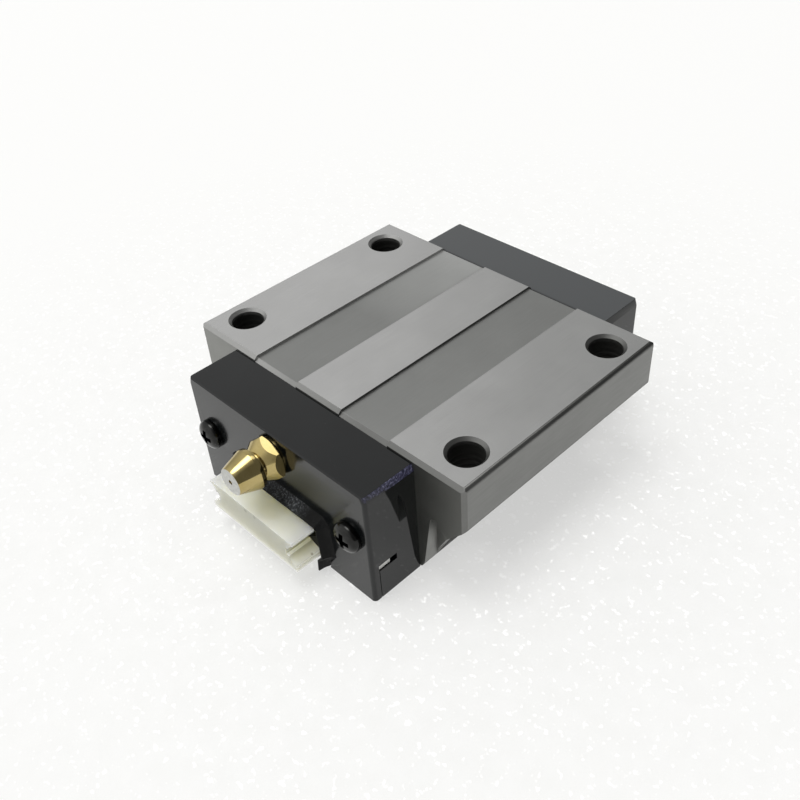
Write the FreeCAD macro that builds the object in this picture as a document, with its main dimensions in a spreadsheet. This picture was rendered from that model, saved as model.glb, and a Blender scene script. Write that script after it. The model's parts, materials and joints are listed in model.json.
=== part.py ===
import FreeCAD, Part
import math
import os
import Sketcher
from FreeCAD import Placement, Rotation, Vector

# Flanged carriage of a linear guide, size 20, on its plastic shipping rail.
# Millimetres.  Origin: centre of the four-hole pattern on the ground top face.
# X across the rail, Y along the rail (the grease nipple end is -Y), Z up.

doc = FreeCAD.newDocument("LinearBearingBlock")

# ---------------------------------------------------------------- dimensions
SIZES = [
    # steel carriage block
    ("block_half_width", 29.5), ("block_half_length", 22.0), ("block_height", 21.6),
    ("centre_pad_half", 4.9), ("outer_pad_inner", 15.0), ("groove_depth", 0.4),
    ("end_chamfer_run", 0.65), ("end_chamfer_rise", 0.55), ("long_edge_radius", 0.75),
    ("corner_cut", 0.7), ("flange_edge_z", 7.85), ("flange_edge_radius", 0.8),
    ("waist_across", 25.95), ("waist_down", 11.75), ("waist_radius", 3.0),
    ("knee_across", 23.4), ("knee_down", 16.3), ("foot_across", 20.6), ("foot_radius", 0.6),
    ("bolt_spacing_across", 49.0), ("bolt_spacing_along", 32.0), ("bolt_hole_radius", 2.7),
    ("bolt_hole_chamfer", 0.5),
    ("relief_inner_low", 20.9), ("relief_inner_high", 22.95), ("relief_outer", 24.1),
    ("relief_top", 9.4), ("relief_depth", 2.7), ("relief_radius", 1.0),
    ("bottom_seat_inner", 10.4), ("bottom_seat_outer", 18.5), ("bottom_seat_depth", 1.0),
    # rail channel and ball paths
    ("channel_half", 10.5), ("channel_top", 11.9),
    ("ball_radius", 1.984), ("ball_count", 26), ("race_across", 10.9), ("race_down", 15.0),
    ("race_radius", 2.04), ("return_across", 16.5), ("return_radius", 2.1),
    ("turn_tube_radius", 2.08),
    # end caps
    ("cap_half_width", 20.2), ("cap_length", 9.3), ("cap_top", 0.85), ("cap_bottom", 21.95),
    ("cap_chamfer_across", 0.4), ("cap_chamfer_down", 1.15), ("cap_corner_radius", 0.65),
    ("cap_edge", 0.25), ("cap_wall", 0.9),
    ("cap_mouth_down", 18.6), ("cap_mouth_low", 19.8), ("cap_mouth_half", 9.9),
    ("screw_across", 16.2), ("screw_down", 10.4), ("screw_clearance_radius", 1.45),
    ("screw_hole_radius", 1.25), ("screw_hole_depth", 8.0),
    ("port_down", 5.2), ("port_radius", 1.75), ("port_depth", 4.1), ("oil_hole_radius", 0.8),
    ("oil_groove_half", 14.2), ("oil_groove_wide", 0.8), ("oil_groove_deep", 0.8),
    ("guide_half_height", 2.6), ("tongue_tip", 8.4), ("tongue_half_height", 0.5),
    ("tongue_length", 5.6), ("strip_slot_inner", 8.64), ("strip_slot_outer", 8.9),
    ("strip_slot_depth", 1.2),
    ("seat_half", 18.9), ("seat_top", 8.0), ("seat_deep", 2.8),
    ("window_start", 26.4), ("window_end", 29.95), ("window_top", 15.15), ("window_low", 16.25),
    ("slit_wide", 0.12),
    # seals, holders, strips
    ("holder_half", 18.85), ("holder_top", 8.05), ("holder_foot", 21.85), ("holder_thick", 2.2),
    ("holder_mouth_half", 10.55), ("holder_hole_radius", 1.5), ("lug_across", 19.95),
    ("lug_top", 15.25), ("lug_low", 16.15), ("lug_length", 2.3),
    ("seal_plate_half", 14.0), ("seal_plate_top", 8.2), ("seal_plate_front", 30.35),
    ("seal_plate_back", 29.8), ("seal_foot", 21.85), ("seal_tip", 33.0),
    ("strip_inner", 8.66), ("strip_thick", 0.2), ("strip_half_height", 0.4),
    ("strip_half_length", 23.1),
    ("bottom_seal_tip", 9.6), ("bottom_seal_outer", 18.4), ("bottom_seal_top", 20.65),
    ("bottom_seal_low", 21.5), ("bottom_seal_half_length", 21.95),
    # cap screws
    ("head_radius", 2.5), ("head_height", 1.7), ("shank_radius", 1.35), ("core_radius", 1.24),
    ("core_length", 7.0), ("recess_long", 1.45), ("recess_wide", 0.36), ("recess_depth", 1.15),
    # grease nipple
    ("nipple_hex_radius", 3.85), ("nipple_hex_length", 2.6), ("nipple_washer_radius", 2.9),
    ("nipple_washer", 0.4), ("nipple_stub_radius", 1.7), ("nipple_stub_length", 4.0),
    ("nipple_cone_z", 1.05), ("nipple_neck_radius", 2.4), ("nipple_rim_radius", 3.3),
    ("nipple_rim_low", 3.4), ("nipple_rim_z", 4.3),
    ("nipple_tip_radius", 2.2), ("nipple_tip_z", 7.6), ("nipple_bore_radius", 0.95),
    ("nipple_bore_low", 2.3), ("nipple_bore_high", 6.9), ("nipple_mouth_radius", 0.4),
    ("nipple_hex_turn", 100.0), ("check_ball_radius", 0.75), ("check_ball_z", 6.54),
    ("spring_radius", 0.6), ("spring_wire", 0.11), ("spring_low", 2.45), ("spring_high", 5.9),
    ("spring_pitch", 0.5),
    # rear port plug
    ("plug_radius", 1.7), ("plug_length", 3.6), ("plug_sunk", 0.3), ("plug_hex_radius", 0.87),
    ("plug_hex_depth", 1.6),
    # shipping rail
    ("rail_half_length", 37.1), ("rail_top", 12.5), ("rail_bottom", 18.2), ("rail_half", 10.0),
    ("rail_edge", 0.25), ("rail_foot_half", 10.2), ("rail_foot_down", 17.3),
    ("rail_groove_radius", 2.3), ("rail_slot_half", 0.75), ("rail_slot_inner", 8.1),
]

# Half outlines of the end seal and of the cap's front opening, across and down.
LIP_INNER = [(0.0, 12.25), (9.9, 12.25), (10.25, 12.6), (10.3, 13.6), (8.35, 15.0), (9.4, 15.4),
             (10.6, 15.9), (10.7, 18.2), (9.65, 19.4), (9.4, 22.3)]
LIP_TIP = [(0.0, 11.95), (10.02, 11.95), (10.55, 12.5), (10.6, 13.6), (10.8, 15.9), (11.0, 18.3),
           (9.92, 19.55), (9.68, 21.85)]
OPENING = [(0.0, 10.87), (10.45, 10.87), (11.6, 12.0), (11.7, 13.6), (11.9, 15.9), (12.1, 18.35),
           (10.85, 19.9), (10.17, 22.5)]
OPENING_GAP = 0.06
for line_name, line in (("lip_inner", LIP_INNER), ("lip_tip", LIP_TIP), ("opening", OPENING)):
    for number, (across, down) in enumerate(line):
        SIZES.append(("%s_%d_across" % (line_name, number), across))
        SIZES.append(("%s_%d_down" % (line_name, number), down))
SIZES.append(("opening_gap", OPENING_GAP))

sheet = doc.addObject("Spreadsheet::Sheet", "Dims")
sheet.set("A1", "size")
sheet.set("B1", "value")
for row, (alias, value) in enumerate(SIZES, start=2):
    sheet.set("A%d" % row, alias)
    sheet.set("B%d" % row, repr(value))
    sheet.setAlias("B%d" % row, alias)
doc.recompute()


class Size(object):
    """A length that carries its value and the sheet expression that gives it."""

    def __init__(self, value, text):
        self.value = float(value)
        self.text = text

    def __add__(self, other):
        other = size(other)
        return Size(self.value + other.value, "(%s + %s)" % (self.text, other.text))

    def __sub__(self, other):
        other = size(other)
        return Size(self.value - other.value, "(%s - %s)" % (self.text, other.text))

    def __rsub__(self, other):
        return size(other) - self

    def __radd__(self, other):
        return size(other) + self

    def __mul__(self, other):
        other = size(other)
        return Size(self.value * other.value, "(%s * %s)" % (self.text, other.text))

    __rmul__ = __mul__

    def __truediv__(self, other):
        other = size(other)
        return Size(self.value / other.value, "(%s / %s)" % (self.text, other.text))

    def __neg__(self):
        return Size(-self.value, "(0 - %s)" % self.text)


def size(item):
    if isinstance(item, Size):
        return item
    number = float(item)
    return Size(number, repr(number) if number >= 0 else "(0 - %r)" % -number)


class Sheet(object):
    """d.alias is the sheet's cell of that alias, as a Size."""

    def __getattr__(self, alias):
        return Size(getattr(sheet, alias), "Dims.%s" % alias)


d = Sheet()


def cell(alias):
    return Size(getattr(sheet, alias), "Dims.%s" % alias)


def bind(item, prop, length):
    length = size(length)
    if "Dims." in length.text:
        item.setExpression(prop, length.text)
    else:
        setattr(item, prop, length.value)


def place(item, across, along, up, rotation=None):
    """Placement with its base bound to the sheet."""
    across, along, up = size(across), size(along), size(up)
    item.Placement = Placement(Vector(across.value, along.value, up.value), rotation or Rotation())
    for axis, length in (("x", across), ("y", along), ("z", up)):
        if "Dims." in length.text:
            item.setExpression("Placement.Base.%s" % axis, length.text)


# ------------------------------------------------------------------- helpers
def make_body(name):
    item = doc.addObject("PartDesign::Body", name)
    item.Label = name
    return item


def plane(body, role):
    for item in body.Origin.OriginFeatures:
        if item.Role == role:
            return item
    raise RuntimeError("no plane %s" % role)


def sketch(body, name, role, loops=(), circles=(), offset=None):
    """Sketch on one of the body's own planes.  loops are closed polygons of
    (across, up) pairs, circles are (across, up, radius); every size is held by
    a constraint, and is bound to the sheet where it comes from the sheet."""
    item = body.newObject("Sketcher::SketchObject", name)
    item.AttachmentSupport = [(plane(body, role), "")]
    item.MapMode = "FlatFace"
    if offset is not None:
        offset = size(offset)
        item.AttachmentOffset = Placement(Vector(0, 0, offset.value), Rotation())
        item.setExpression("AttachmentOffset.Base.z", offset.text)
    rules = []
    bound = []

    def hold(geometry, point, axis, length):
        length = size(length)
        if abs(length.value) < 1e-9:
            rules.append(Sketcher.Constraint("PointOnObject", geometry, point,
                                             -2 if axis == "X" else -1))
            return
        if length.value > 0:
            rules.append(Sketcher.Constraint("Distance" + axis, -1, 1, geometry, point,
                                             length.value))
        else:
            length = -length
            rules.append(Sketcher.Constraint("Distance" + axis, geometry, point, -1, 1,
                                             length.value))
        if "Dims." in length.text:
            bound.append((len(rules) - 1, length.text))

    for loop in loops:
        points = [(size(a), size(b)) for a, b in loop]
        count = len(points)
        first = item.GeometryCount
        for index in range(count):
            a, b = points[index], points[(index + 1) % count]
            item.addGeometry(Part.LineSegment(Vector(a[0].value, a[1].value, 0),
                                              Vector(b[0].value, b[1].value, 0)), False)
        for index in range(count):
            rules.append(Sketcher.Constraint("Coincident", first + index, 2,
                                             first + (index + 1) % count, 1))
        for index in range(count):
            hold(first + index, 1, "X", points[index][0])
            hold(first + index, 1, "Y", points[index][1])
    for across, up, radius in circles:
        across, up, radius = size(across), size(up), size(radius)
        geometry = item.addGeometry(Part.Circle(Vector(across.value, up.value, 0),
                                                Vector(0, 0, 1), radius.value), False)
        hold(geometry, 3, "X", across)
        hold(geometry, 3, "Y", up)
        rules.append(Sketcher.Constraint("Radius", geometry, radius.value))
        if "Dims." in radius.text:
            bound.append((len(rules) - 1, radius.text))
    item.addConstraint(rules)
    for index, text in bound:
        item.renameConstraint(index, "size_%d" % index)
        item.setExpression("Constraints.size_%d" % index, text)
    return item


def pad(body, name, profile, length, middle=False, back=False):
    item = body.newObject("PartDesign::Pad", name)
    item.Profile = profile
    bind(item, "Length", length)
    item.Midplane = middle
    item.Reversed = back
    return item


def pocket(body, name, profile, length, middle=False, back=False):
    item = body.newObject("PartDesign::Pocket", name)
    item.Profile = profile
    item.Type = "Length"
    bind(item, "Length", length)
    item.Midplane = middle
    item.Reversed = back
    return item


def revolve(body, name, profile, cut=False):
    item = body.newObject("PartDesign::Groove" if cut else "PartDesign::Revolution", name)
    item.Profile = profile
    item.ReferenceAxis = (profile, ["V_Axis"])
    item.Angle = 360.0
    return item


def mirror(body, name, originals, role):
    item = body.newObject("PartDesign::Mirrored", name)
    item.Originals = originals
    item.MirrorPlane = (plane(body, role), [""])
    body.Tip = item
    return item


def edge_names(feature, test):
    names = []
    for number, edge in enumerate(feature.Shape.Edges, start=1):
        middle = edge.valueAt(0.5 * (edge.FirstParameter + edge.LastParameter))
        if test(edge, middle):
            names.append("Edge%d" % number)
    if not names:
        raise RuntimeError("no edge found on %s" % feature.Name)
    return names


def fillet(body, name, base, test, radius):
    doc.recompute()
    names = edge_names(base, test)
    item = body.newObject("PartDesign::Fillet", name)
    item.Base = (base, names)
    bind(item, "Radius", radius)
    return item


def chamfer(body, name, base, test, length):
    doc.recompute()
    names = edge_names(base, test)
    item = body.newObject("PartDesign::Chamfer", name)
    item.Base = (base, names)
    bind(item, "Size", length)
    return item


def near(value, target, slack=0.02):
    return abs(value - target) < slack


def whole(half):
    """Closed outline from a half outline that starts and ends anywhere at x >= 0."""
    points = [(size(a), size(b)) for a, b in half]
    left = [(-a, b) for a, b in reversed(points) if a.value > 1e-9]
    return points + left


def pair(loop):
    points = [(size(a), size(b)) for a, b in loop]
    return [points, [(-a, b) for a, b in reversed(points)]]


def rectangle(a0, b0, a1, b1):
    return [(a0, b0), (a1, b0), (a1, b1), (a0, b1)]


TURN = Rotation(Vector(0, 0, 1), 180)      # front end to rear end
FORWARD = Rotation(Vector(1, 0, 0), 90)    # local +Z to -Y
BACKWARD = Rotation(Vector(1, 0, 0), -90)  # local +Z to +Y

kept = []                                  # the sub-parts, in order of assembly


# ------------------------------------------------------------ carriage block
block = make_body("carriage_block")
outline = sketch(block, "block_section", "XZ_Plane", [whole([
    (d.block_half_width, 0), (d.block_half_width, -d.flange_edge_z),
    (d.waist_across, -d.waist_down), (d.knee_across, -d.knee_down),
    (d.foot_across, -d.block_height), (d.bottom_seat_outer, -d.block_height),
    (d.bottom_seat_outer, -(d.block_height - d.bottom_seat_depth)),
    (d.channel_half, -(d.block_height - d.bottom_seat_depth)),
    (d.channel_half, -d.channel_top)])])
steel = pad(block, "block_bar", outline, d.block_half_length * 2, middle=True)
rounded = fillet(block, "long_top_edges", steel,
                 lambda e, m: near(abs(m.x), sheet.block_half_width) and near(m.z, 0) and near(m.y, 0),
                 d.long_edge_radius)
rounded = fillet(block, "long_flange_edges", rounded,
                 lambda e, m: near(abs(m.x), sheet.block_half_width)
                 and near(m.z, -sheet.flange_edge_z) and near(m.y, 0), d.flange_edge_radius)
rounded = fillet(block, "waist", rounded,
                 lambda e, m: near(abs(m.x), sheet.waist_across)
                 and near(m.z, -sheet.waist_down) and near(m.y, 0), d.waist_radius)
rounded = fillet(block, "foot_edges", rounded,
                 lambda e, m: near(abs(m.x), sheet.foot_across)
                 and near(m.z, -sheet.block_height) and near(m.y, 0), d.foot_radius)
corner = [(d.block_half_width - d.corner_cut, d.block_half_length + 0.1),
          (d.block_half_width + 0.1, d.block_half_length - d.corner_cut),
          (d.block_half_width + 0.1, d.block_half_length + 0.1)]
corners = pair(corner)
corners = corners + [[(a, -b) for a, b in loop] for loop in corners]
pocket(block, "corner_cuts", sketch(block, "corner_triangles", "XY_Plane", corners, offset=1.0),
       d.block_height + 2)


def end_wedges(down):
    wedge = [(d.block_half_length - d.end_chamfer_run, -down + 0.0),
             (d.block_half_length, -(down + d.end_chamfer_rise)),
             (d.block_half_length + 0.5, -(down + d.end_chamfer_rise)),
             (d.block_half_length + 0.5, -down + 0.5),
             (d.block_half_length - d.end_chamfer_run, -down + 0.5)]
    return pair(wedge)


pocket(block, "end_chamfers", sketch(block, "end_wedge_section", "YZ_Plane", end_wedges(size(0.0))),
       d.block_half_width * 2 + 2, middle=True)
pocket(block, "relief_grooves", sketch(block, "relief_groove_section", "XZ_Plane", pair(
    rectangle(d.centre_pad_half, -d.groove_depth, d.outer_pad_inner, 1.0))),
    d.block_half_length * 2 + 2, middle=True)
groove_wedge = pocket(block, "groove_end_chamfers",
                      sketch(block, "groove_wedge_section", "YZ_Plane", end_wedges(d.groove_depth),
                             offset=d.centre_pad_half),
                      d.outer_pad_inner - d.centre_pad_half, back=True)
mirror(block, "groove_end_chamfers_left", [groove_wedge], "YZ_Plane")
pocket(block, "load_races", sketch(block, "load_race_section", "XZ_Plane", circles=[
    (d.race_across, -d.race_down, d.race_radius), (-d.race_across, -d.race_down, d.race_radius)]),
    d.block_half_length * 2 + 2, middle=True)
pocket(block, "return_bores", sketch(block, "return_bore_section", "XZ_Plane", circles=[
    (d.return_across, -d.race_down, d.return_radius), (-d.return_across, -d.race_down, d.return_radius)]),
    d.block_half_length * 2 + 2, middle=True)
screw_bores = pocket(block, "cap_screw_bores", sketch(
    block, "cap_screw_bore_section", "XZ_Plane", circles=[
        (d.screw_across, -d.screw_down, d.screw_hole_radius),
        (-d.screw_across, -d.screw_down, d.screw_hole_radius)],
    offset=d.block_half_length), d.screw_hole_depth)
reliefs = pocket(block, "end_reliefs", sketch(block, "end_relief_section", "XZ_Plane", pair([
    (d.relief_inner_low, -(d.block_height + 1)), (d.relief_outer, -(d.block_height + 1)),
    (d.relief_outer, -d.relief_top), (d.relief_inner_high, -d.relief_top)]),
    offset=d.block_half_length), d.relief_depth)
both_ends = mirror(block, "rear_end_cuts", [screw_bores, reliefs], "XZ_Plane")
soft = fillet(block, "relief_corners", both_ends,
              lambda e, m: near(abs(m.x), sheet.relief_inner_high) and near(m.z, -sheet.relief_top)
              and near(abs(m.y), sheet.block_half_length - 0.5 * sheet.relief_depth),
              d.relief_radius)
bolts = pocket(block, "bolt_holes", sketch(block, "bolt_hole_pattern", "XY_Plane", circles=[
    (d.bolt_spacing_across / 2 * a, d.bolt_spacing_along / 2 * b, d.bolt_hole_radius)
    for a in (1, -1) for b in (1, -1)], offset=1.0), d.block_height + 2)
chamfer(block, "bolt_hole_chamfers", bolts,
        lambda e, m: hasattr(e.Curve, "Radius") and near(e.Curve.Radius, sheet.bolt_hole_radius)
        and near(m.z, 0) and near(abs(e.Curve.Center.x), sheet.bolt_spacing_across / 2),
        d.bolt_hole_chamfer)
kept.append(block)


# ------------------------------------------------------------------ end caps
def make_end_cap(name, rear):
    """One moulding: ball turns, oil way, screw clearances and the seal seat."""
    cap = make_body(name)
    section = whole([
        (0, -d.cap_top), (d.cap_half_width - d.cap_chamfer_across, -d.cap_top),
        (d.cap_half_width, -(d.cap_top + d.cap_chamfer_down)), (d.cap_half_width, -d.cap_bottom),
        (d.cap_mouth_half, -d.cap_bottom), (d.cap_mouth_half, -d.cap_mouth_low),
        (d.channel_half, -d.cap_mouth_down), (d.channel_half, -d.channel_top)])
    # the tongues below are added after this bar, so the channel is cut first
    bar = pad(cap, name + "_bar", sketch(cap, name + "_section", "XZ_Plane", [section],
                                         offset=d.block_half_length), d.cap_length)
    front = sheet.block_half_length + sheet.cap_length
    soft = fillet(cap, name + "_corners", bar,
                  lambda e, m: near(m.y, -front) and abs(m.x) > sheet.cap_half_width - 0.3
                  and (near(abs(m.x), sheet.cap_half_width)
                       or near(abs(m.x), sheet.cap_half_width - 0.5 * sheet.cap_chamfer_across))
                  and m.z > -sheet.cap_bottom + 0.1,
                  d.cap_corner_radius)
    edge = d.block_half_length + d.cap_length
    pocket(cap, name + "_front_edge", sketch(cap, name + "_front_edge_section", "YZ_Plane", [[
        (-edge - 0.2, -(d.cap_top + d.cap_edge)), (-edge, -(d.cap_top + d.cap_edge)),
        (-(edge - d.cap_edge), -d.cap_top), (-(edge - d.cap_edge), 0.0), (-edge - 0.2, 0.0)]]),
        d.cap_half_width * 2 + 2, middle=True)
    tongue = rectangle(d.tongue_tip, -(d.race_down + d.tongue_half_height),
                       d.channel_half + 0.1, -(d.race_down - d.tongue_half_height))
    pad(cap, name + "_tongues", sketch(cap, name + "_tongue_section", "XZ_Plane", pair(tongue),
                                       offset=d.block_half_length), d.tongue_length)
    turn = (d.race_across + d.return_across) / 2
    for side, label in ((1, "right"), (-1, "left")):
        seat = sketch(cap, "%s_%s_turn_seat_section" % (name, label), "XY_Plane", circles=[
            (turn * side, -d.block_half_length, (d.return_across - d.race_across) / 2)],
            offset=-(d.race_down + d.guide_half_height))
        pocket(cap, "%s_%s_turn_seat" % (name, label), seat, d.guide_half_height * 2, back=True)
        ring = sketch(cap, "%s_%s_turn_section" % (name, label), "XZ_Plane", circles=[
            (size(0.0) + (d.return_across - d.race_across) / 2, -d.race_down, d.turn_tube_radius)],
            offset=d.block_half_length)
        ring.AttachmentOffset = Placement(
            Vector((turn * side).value, 0, sheet.block_half_length), Rotation())
        ring.setExpression("AttachmentOffset.Base.x", (turn * side).text)
        ring.setExpression("AttachmentOffset.Base.z", d.block_half_length.text)
        revolve(cap, "%s_%s_turn" % (name, label), ring, cut=True)
    slot = rectangle(d.strip_slot_inner, -(d.race_down + 0.6), d.strip_slot_outer,
                     -(d.race_down - 0.6))
    pocket(cap, name + "_strip_slots", sketch(cap, name + "_strip_slot_section", "XZ_Plane",
                                              pair(slot), offset=d.block_half_length + d.strip_slot_depth),
           d.strip_slot_depth + 0.5)
    # seat for the seal and its holder, open at the bottom
    pocket(cap, name + "_seal_seat", sketch(cap, name + "_seal_seat_section", "XZ_Plane", [
        rectangle(-d.seat_half, -(d.cap_bottom + 1), d.seat_half, -d.seat_top)],
        offset=d.block_half_length + d.cap_length - d.cap_wall), d.seat_deep)
    opening = [(cell("opening_%d_across" % k), -cell("opening_%d_down" % k))
               for k in range(len(OPENING))]
    pocket(cap, name + "_front_opening", sketch(cap, name + "_front_opening_section", "XZ_Plane",
                                                [whole(opening)], offset=edge + 0.5),
           d.cap_wall + 0.6)
    # a window and a narrow slit in each side wall, over the holder's lug
    side_window = pocket(cap, name + "_window", sketch(cap, name + "_window_section", "YZ_Plane", [
        rectangle(-d.window_end, -d.window_low, -d.window_start, -d.window_top)],
        offset=d.cap_half_width + 0.5), d.cap_half_width + 0.5 - d.seat_half + 0.05)
    side_slit = pocket(cap, name + "_slit", sketch(cap, name + "_slit_section", "YZ_Plane", [
        rectangle(-d.window_end, -(d.cap_bottom + 1), -(d.window_end - d.slit_wide), -d.window_low)],
        offset=d.cap_half_width + 0.5), d.cap_half_width + 0.5 - d.seat_half + 0.05)
    mirror(cap, name + "_left_window", [side_window, side_slit], "YZ_Plane")
    pocket(cap, name + "_screw_clearances", sketch(
        cap, name + "_screw_clearance_section", "XZ_Plane", circles=[
            (d.screw_across, -d.screw_down, d.screw_clearance_radius),
            (-d.screw_across, -d.screw_down, d.screw_clearance_radius)], offset=edge + 0.5),
        d.cap_length + 1)
    pocket(cap, name + "_port", sketch(cap, name + "_port_section", "XZ_Plane", circles=[
        (0, -d.port_down, d.port_radius)], offset=edge), d.port_depth)
    pocket(cap, name + "_oil_hole", sketch(cap, name + "_oil_hole_section", "XZ_Plane", circles=[
        (0, -d.port_down, d.oil_hole_radius)], offset=edge - d.port_depth), d.cap_length)
    half = d.oil_groove_wide / 2
    ways = whole([(0, -(d.port_down - half)), (d.oil_groove_half, -(d.port_down - half)),
                  (d.oil_groove_half, -(d.race_down - d.guide_half_height + 0.2)),
                  (d.oil_groove_half - 1.0, -(d.race_down - d.guide_half_height + 0.2)),
                  (d.oil_groove_half - 1.0, -(d.port_down + half)), (0, -(d.port_down + half))])
    pocket(cap, name + "_oil_groove", sketch(cap, name + "_oil_groove_section", "XZ_Plane", [ways],
                                             offset=d.block_half_length + d.oil_groove_deep),
           d.oil_groove_deep + 0.5)
    if rear:
        cap.Placement = Placement(Vector(0, 0, 0), TURN)
    kept.append(cap)


make_end_cap("front_end_cap", False)
make_end_cap("rear_end_cap", True)


# ------------------------------------------------------- seals, rubber on plate
def wire_at(points, along):
    """Closed symmetrical wire in the plane y = -along, from a half outline."""
    right = [Vector(a, -along, -b) for a, b in points]
    left = [Vector(-a, -along, -b) for a, b in reversed(points) if a > 1e-9]
    return Part.makePolygon(right + left + [right[0]])


def seal_shape():
    inner = [(getattr(sheet, "lip_inner_%d_across" % k), getattr(sheet, "lip_inner_%d_down" % k))
             for k in range(len(LIP_INNER))]
    tip = [(getattr(sheet, "lip_tip_%d_across" % k), getattr(sheet, "lip_tip_%d_down" % k))
           for k in range(len(LIP_TIP))]
    gap = sheet.opening_gap
    base = [(max(getattr(sheet, "opening_%d_across" % k) - (gap if k else 0.0), 0.0),
             min(getattr(sheet, "opening_%d_down" % k) + gap, sheet.seal_foot))
            for k in range(len(OPENING))]
    front = sheet.block_half_length + sheet.cap_length
    sections = []
    for along, share in ((sheet.seal_plate_front - 0.2, 1.0), (front, 1.0), (front + 0.4, 0.55),
                         (front + 0.9, 0.25), (sheet.seal_tip, 0.0)):
        line = [(t[0] + (b[0] - t[0]) * share, t[1] + (b[1] - t[1]) * share)
                for t, b in zip(tip, base)]
        sections.append(wire_at(line, along))
    boss = Part.makeLoft(sections, True, True)
    half = sheet.seal_plate_half
    plate = Part.Face(wire_at([(0.0, sheet.seal_plate_top), (half - 0.7, sheet.seal_plate_top),
                               (half, sheet.seal_plate_top + 0.8), (half, sheet.seal_foot)],
                              sheet.seal_plate_back))
    plate = plate.extrude(Vector(0, -(sheet.seal_plate_front - sheet.seal_plate_back), 0))
    mouth = Part.Face(wire_at(inner, sheet.seal_plate_back - 0.5)).extrude(Vector(0, -5.0, 0))
    return boss.fuse(plate).cut(mouth).removeSplitter()


for name, turn in (("front_end_seal", Rotation()), ("rear_end_seal", TURN)):
    seal = doc.addObject("Part::Feature", name)
    seal.Label = name
    seal.Shape = seal_shape()
    seal.Placement = Placement(Vector(0, 0, 0), turn)
    kept.append(seal)


def make_holder(name, rear):
    """Plastic plate behind the seal, with a lug that shows in each side window."""
    holder = make_body(name)
    back = d.block_half_length + d.cap_length - d.cap_wall - d.seat_deep
    pad(holder, name + "_plate", sketch(holder, name + "_plate_section", "XZ_Plane", [whole([
        (d.holder_half, -d.holder_top), (d.holder_half, -d.holder_foot),
        (d.holder_mouth_half, -d.holder_foot), (d.holder_mouth_half, -d.channel_top)])],
        offset=back), d.holder_thick)
    pad(holder, name + "_lugs", sketch(holder, name + "_lug_section", "XZ_Plane", pair(
        rectangle(d.holder_half - 0.5, -d.lug_low, d.lug_across, -d.lug_top)),
        offset=back), d.lug_length)
    pocket(holder, name + "_holes", sketch(holder, name + "_hole_section", "XZ_Plane", circles=[
        (d.screw_across, -d.screw_down, d.holder_hole_radius),
        (-d.screw_across, -d.screw_down, d.holder_hole_radius)], offset=back + d.holder_thick + 0.5),
        d.holder_thick + 1)
    if rear:
        holder.Placement = Placement(Vector(0, 0, 0), TURN)
    kept.append(holder)


make_holder("front_seal_holder", False)
make_holder("rear_seal_holder", True)


# ------------------------------------------------------------- return guides
def make_return_guide(name, side, rear):
    """Half spool that forms the inner side of the ball turn."""
    guide = make_body(name)
    radius = (d.return_across - d.race_across) / 2
    pad(guide, name + "_disc", sketch(guide, name + "_disc_section", "XY_Plane",
                                      circles=[(0, 0, radius)]),
        d.guide_half_height * 2, middle=True)
    pocket(guide, name + "_half", sketch(guide, name + "_half_section", "XY_Plane", [
        rectangle(-(radius + 1), 0, radius + 1, radius + 1)],
        offset=d.guide_half_height + 0.5), d.guide_half_height * 2 + 1)
    ring = sketch(guide, name + "_ball_way_section", "XZ_Plane",
                  circles=[(radius, 0, d.turn_tube_radius)])
    revolve(guide, name + "_ball_way", ring, cut=True)
    middle = (d.race_across + d.return_across) / 2
    place(guide, middle * side, d.block_half_length * (1 if rear else -1), -d.race_down,
          TURN if rear else None)
    kept.append(guide)


make_return_guide("front_left_return_guide", -1, False)
make_return_guide("front_right_return_guide", 1, False)
make_return_guide("rear_left_return_guide", -1, True)
make_return_guide("rear_right_return_guide", 1, True)


# ------------------------------------------------------------- ball circuits
def circuit_point(travel, half, radius, inner):
    """Point at a distance along the closed ball path, starting at the load race."""
    straight, arc = 2 * half, math.pi * radius
    travel = travel % (2 * straight + 2 * arc)
    if travel < straight:
        return inner, -half + travel
    travel -= straight
    if travel < arc:
        angle = travel / radius
        return inner + radius - radius * math.cos(angle), half + radius * math.sin(angle)
    travel -= arc
    if travel < straight:
        return inner + 2 * radius, half - travel
    travel -= straight
    angle = travel / radius
    return inner + radius + radius * math.cos(angle), -half - radius * math.sin(angle)


def ball_centres(count):
    """Equal chords between neighbouring balls all the way round the path."""
    half = sheet.block_half_length
    radius = (sheet.return_across - sheet.race_across) / 2
    inner = sheet.race_across
    total = 4 * half + 2 * math.pi * radius

    def march(chord):
        travel, places = 0.0, [0.0]
        for _ in range(count):
            here = circuit_point(travel, half, radius, inner)
            low, high = travel, travel + 2.5 * chord
            for _ in range(60):
                middle = 0.5 * (low + high)
                there = circuit_point(middle, half, radius, inner)
                if math.hypot(there[0] - here[0], there[1] - here[1]) < chord:
                    low = middle
                else:
                    high = middle
            travel = 0.5 * (low + high)
            places.append(travel)
        return travel, places

    low, high = 3.0, 5.0
    for _ in range(60):
        chord = 0.5 * (low + high)
        if march(chord)[0] < total:
            low = chord
        else:
            high = chord
    if chord < 2 * sheet.ball_radius + 0.005:
        raise RuntimeError("the balls do not fit the circuit: chord %.3f" % chord)
    print("ball spacing %.3f" % chord)
    return [circuit_point(travel, half, radius, inner) for travel in march(chord)[1][:count]]


centres = ball_centres(int(sheet.ball_count))
for name, side in (("left_ball_circuit", -1), ("right_ball_circuit", 1)):
    balls = doc.addObject("Part::Feature", name)
    balls.Label = name
    balls.Shape = Part.makeCompound([
        Part.makeSphere(sheet.ball_radius, Vector(side * across, side * along, -sheet.race_down))
        for across, along in centres])
    kept.append(balls)


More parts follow.
